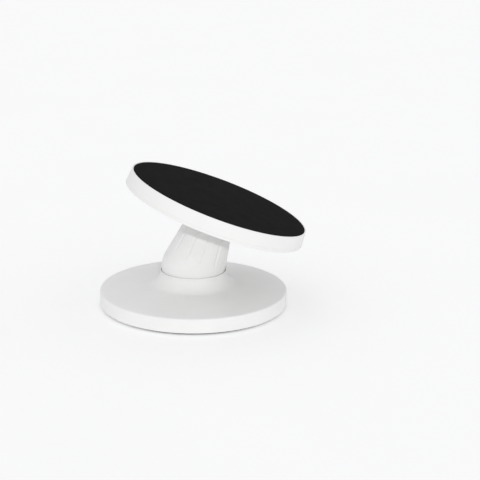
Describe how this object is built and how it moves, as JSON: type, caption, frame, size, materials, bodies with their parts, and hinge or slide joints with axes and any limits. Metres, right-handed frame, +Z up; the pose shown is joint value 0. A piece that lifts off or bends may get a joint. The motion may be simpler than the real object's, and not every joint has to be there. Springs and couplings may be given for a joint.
{
  "type": "tilting cake turntable",
  "caption": "Round cake stand whose non-slip platter spins on a ball race and tilts on a fluted neck over a wide round base.",
  "frame": {"origin": "centre of the base on the table, in the plane of the rubber foot ring's underside", "axes": "+Z up; the tilt axle lies along Y; +X is the side that the platter is tilted down to in the stored pose; +Y is the side of the release button and the spin lock"},
  "size_m": [0.3384, 0.31, 0.23],
  "materials": {
    "white_gloss": "smooth white",
    "white_matte": "natural white",
    "light_grey": "fine satin",
    "black_mat": "fine grained",
    "dark_rubber": "matte",
    "dark_plastic": "moulded",
    "bushing_plastic": "natural",
    "steel": "bright zinc"
  },
  "bodies": {
    "base": {"base_shell": "white_gloss", "neck_socket": "white_gloss", "bottom_cover": "white_matte", "cover_screws": "steel", "foot_ring": "dark_rubber", "pivot_bracket": "dark_plastic", "bracket_screws": "steel", "axle_bushings": "bushing_plastic", "brake_spring": "steel"},
    "tilt_head": {"neck_shell": "white_gloss", "tilt_yoke": "dark_plastic", "brake_quadrant": "dark_plastic", "drive_pin": "steel", "tilt_axle": "steel", "axle_clips": "steel", "quadrant_screws": "steel", "yoke_screws": "steel", "bearing_collar": "white_gloss", "bearing_plate": "white_matte", "plate_screws": "steel", "spindle_bushing": "bushing_plastic", "lower_race": "steel", "lower_race_screws": "steel"},
    "bearing_cage": {"ball_cage": "bushing_plastic", "bearing_balls": "steel"},
    "platter": {"platter": "white_matte", "platter_skirt": "white_gloss", "non_slip_mat": "black_mat", "upper_race": "steel", "upper_race_screws": "steel", "spindle_bolt": "steel", "thrust_washers": "steel", "lock_nut": "steel"},
    "tilt_release": {"brake_slider": "white_matte", "brake_shoe": "dark_rubber", "release_button": "light_grey", "button_screw": "steel"},
    "spin_lock": {"lock_slider": "white_matte", "lock_pad": "dark_rubber", "thumb_tab": "light_grey"}
  },
  "joints": [
    {"name": "tilt", "type": "hinge", "parent": "base", "child": "tilt_head", "pos_m": [0, 0, 0.0615], "axis": [0, 1, 0], "range_deg": [-40, 0]},
    {"name": "platter_spin", "type": "hinge", "parent": "tilt_head", "child": "platter", "pos_m": [0, 0, 0.0615], "axis": [0.342, 0, 0.9397], "continuous": true},
    {"name": "cage_roll", "type": "hinge", "parent": "tilt_head", "child": "bearing_cage", "pos_m": [0, 0, 0.0615], "axis": [0.342, 0, 0.9397], "continuous": true},
    {"name": "tilt_release_press", "type": "slide", "parent": "base", "child": "tilt_release", "axis": [0, 0, -1], "range_m": [0, 0.0035], "stiffness_N_per_m": 800, "springref_m": -0.004, "deforming": ["brake_spring"]},
    {"name": "spin_lock_slide", "type": "slide", "parent": "tilt_head", "child": "spin_lock", "axis": [0.342, 0, 0.9397], "range_m": [0, 0.0026]}
  ],
  "couplings": [
    {"joint": "cage_roll", "follows": "platter_spin", "ratio": 0.5}
  ]
}
